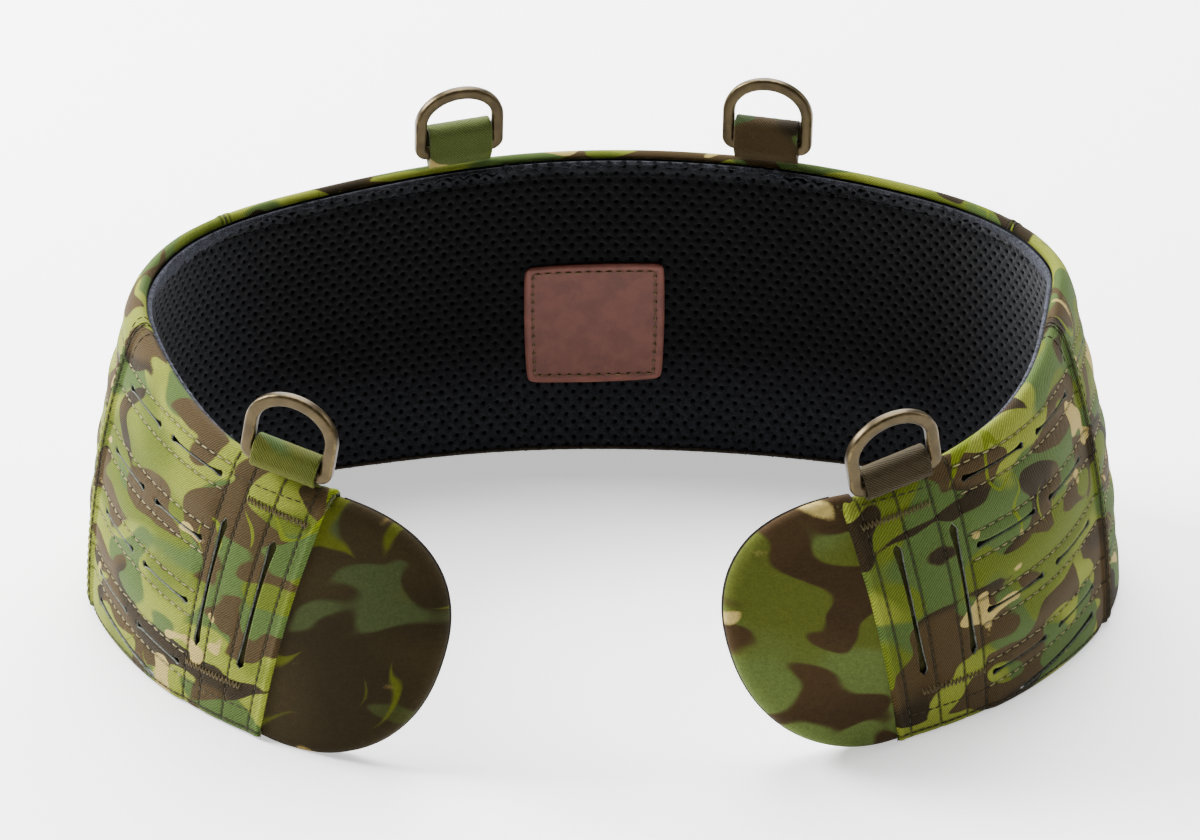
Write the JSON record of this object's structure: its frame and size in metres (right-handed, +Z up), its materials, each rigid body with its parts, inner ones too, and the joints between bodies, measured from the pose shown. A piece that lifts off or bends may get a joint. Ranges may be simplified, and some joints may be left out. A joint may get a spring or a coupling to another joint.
{
  "type": "padded tactical belt",
  "caption": "Padded waist belt in camouflage laminate with rows of slots for pouches, mesh lining, loop-faced tongues, D-rings on webbing loops and a blank leather patch.",
  "frame": {"origin": "centre of the bounding box on the floor, under the waist opening", "axes": "+X to the right seen from the open front, along the belt's greatest width; +Y toward the back of the belt; +Z up; the tongues lie toward -Y"},
  "size_m": [0.3886, 0.2567, 0.1677],
  "materials": {
    "camouflage_laminate": null,
    "padding": "cloth-covered foam",
    "lining_mesh": "black three-layer spacer mesh",
    "loop_cloth": "brushed loop pile in the same camouflage",
    "webbing": "25 mm woven strap, twill face",
    "ring_enamel": "glossy tan",
    "patch_leather": "smooth reddish-brown, stitched edge"
  },
  "bodies": {
    "belt": {"pad_core": "padding", "mesh_lining": "lining_mesh", "tongue_face_left": "loop_cloth", "tongue_face_right": "loop_cloth", "panel_back": "camouflage_laminate", "panel_side_left": "camouflage_laminate", "panel_side_right": "camouflage_laminate", "panel_front_left": "camouflage_laminate", "panel_front_right": "camouflage_laminate", "leather_patch": "patch_leather", "webbing_loop_rear_left": "webbing", "webbing_loop_rear_right": "webbing", "webbing_loop_front_left": "webbing", "webbing_loop_front_right": "webbing"},
    "ring_rear_left": {"d_ring_rear_left": "ring_enamel"},
    "ring_rear_right": {"d_ring_rear_right": "ring_enamel"},
    "ring_front_left": {"d_ring_front_left": "ring_enamel"},
    "ring_front_right": {"d_ring_front_right": "ring_enamel"}
  },
  "joints": [
    {"name": "ring_pivot_rear_left", "type": "hinge", "parent": "belt", "child": "ring_rear_left", "pos_m": [-0.05567, 0.10085, 0.13896], "axis": [0.954, 0.2961, 0.0466], "range_deg": [-105, 138]},
    {"name": "ring_pivot_rear_right", "type": "hinge", "parent": "belt", "child": "ring_rear_right", "pos_m": [0.06267, 0.10228, 0.13937], "axis": [0.973, -0.2286, -0.0303], "range_deg": [-105, 146]},
    {"name": "ring_pivot_front_left", "type": "hinge", "parent": "belt", "child": "ring_front_left", "pos_m": [-0.11043, -0.09359, 0.10016], "axis": [-0.9176, 0.3322, 0.2182], "range_deg": [-125, 95]},
    {"name": "ring_pivot_front_right", "type": "hinge", "parent": "belt", "child": "ring_front_right", "pos_m": [0.10101, -0.09831, 0.09797], "axis": [-0.9096, -0.3424, -0.2356], "range_deg": [-125, 95]}
  ]
}
